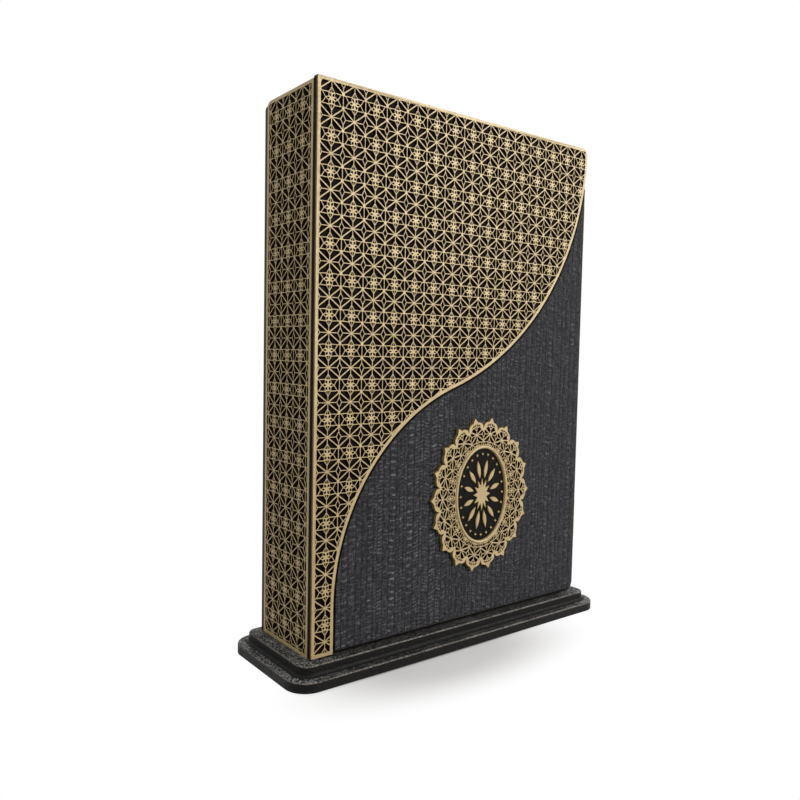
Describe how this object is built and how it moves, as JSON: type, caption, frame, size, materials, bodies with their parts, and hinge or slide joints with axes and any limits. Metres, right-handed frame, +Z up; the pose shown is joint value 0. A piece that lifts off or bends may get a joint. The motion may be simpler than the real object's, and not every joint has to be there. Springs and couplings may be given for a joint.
{
  "type": "book box on plinth",
  "caption": "Upright box for a holy book on a stepped black plinth, with a hinged front door in gold fretwork and dark textile, an oval petal medallion and fretwork sides.",
  "frame": {"origin": "middle of the felt resting face under the plinth", "axes": "+X to the right along the front, +Y from the door towards the back, +Z up"},
  "size_m": [0.223, 0.0734, 0.2925],
  "materials": {
    "gold_fret": "pale matt gold",
    "textile": "coarse woven charcoal with vertical ribs",
    "black_board": "matt black lacquered board",
    "plinth_black": "black pebbled lacquer",
    "oval_black": "satin black",
    "velvet": "dark velvet",
    "felt": "black felt",
    "brass": "satin brass",
    "steel": "plain",
    "rubber": "soft black"
  },
  "bodies": {
    "case": {"felt_pad": "felt", "plinth_lower": "plinth_black", "plinth_upper": "plinth_black", "plinth_screws": "steel", "floor_panel": "black_board", "top_panel": "black_board", "left_wall": "black_board", "right_wall": "black_board", "back_panel": "black_board", "left_lattice": "gold_fret", "right_lattice": "gold_fret", "lining_back": "velvet", "lining_left": "velvet", "lining_right": "velvet", "lining_floor": "velvet", "lining_top": "velvet", "upper_frame_leaf": "brass", "lower_frame_leaf": "brass", "upper_hinge_pin": "brass", "lower_hinge_pin": "brass", "frame_hinge_screws": "brass", "frame_magnets": "steel", "bumper_pads": "rubber"},
    "door": {"door_board": "black_board", "textile_panel": "textile", "door_lattice": "gold_fret", "door_lining": "velvet", "medallion_ring": "gold_fret", "medallion_rim": "gold_fret", "medallion_field": "oval_black", "medallion_ornament": "gold_fret", "upper_door_leaf": "brass", "lower_door_leaf": "brass", "door_hinge_screws": "brass", "door_magnets": "steel"}
  },
  "joints": [
    {"name": "door_hinge", "type": "hinge", "parent": "case", "child": "door", "pos_m": [0.1, -0.0219, 0.1525], "axis": [0, 0, 1], "range_deg": [0, 180]}
  ]
}
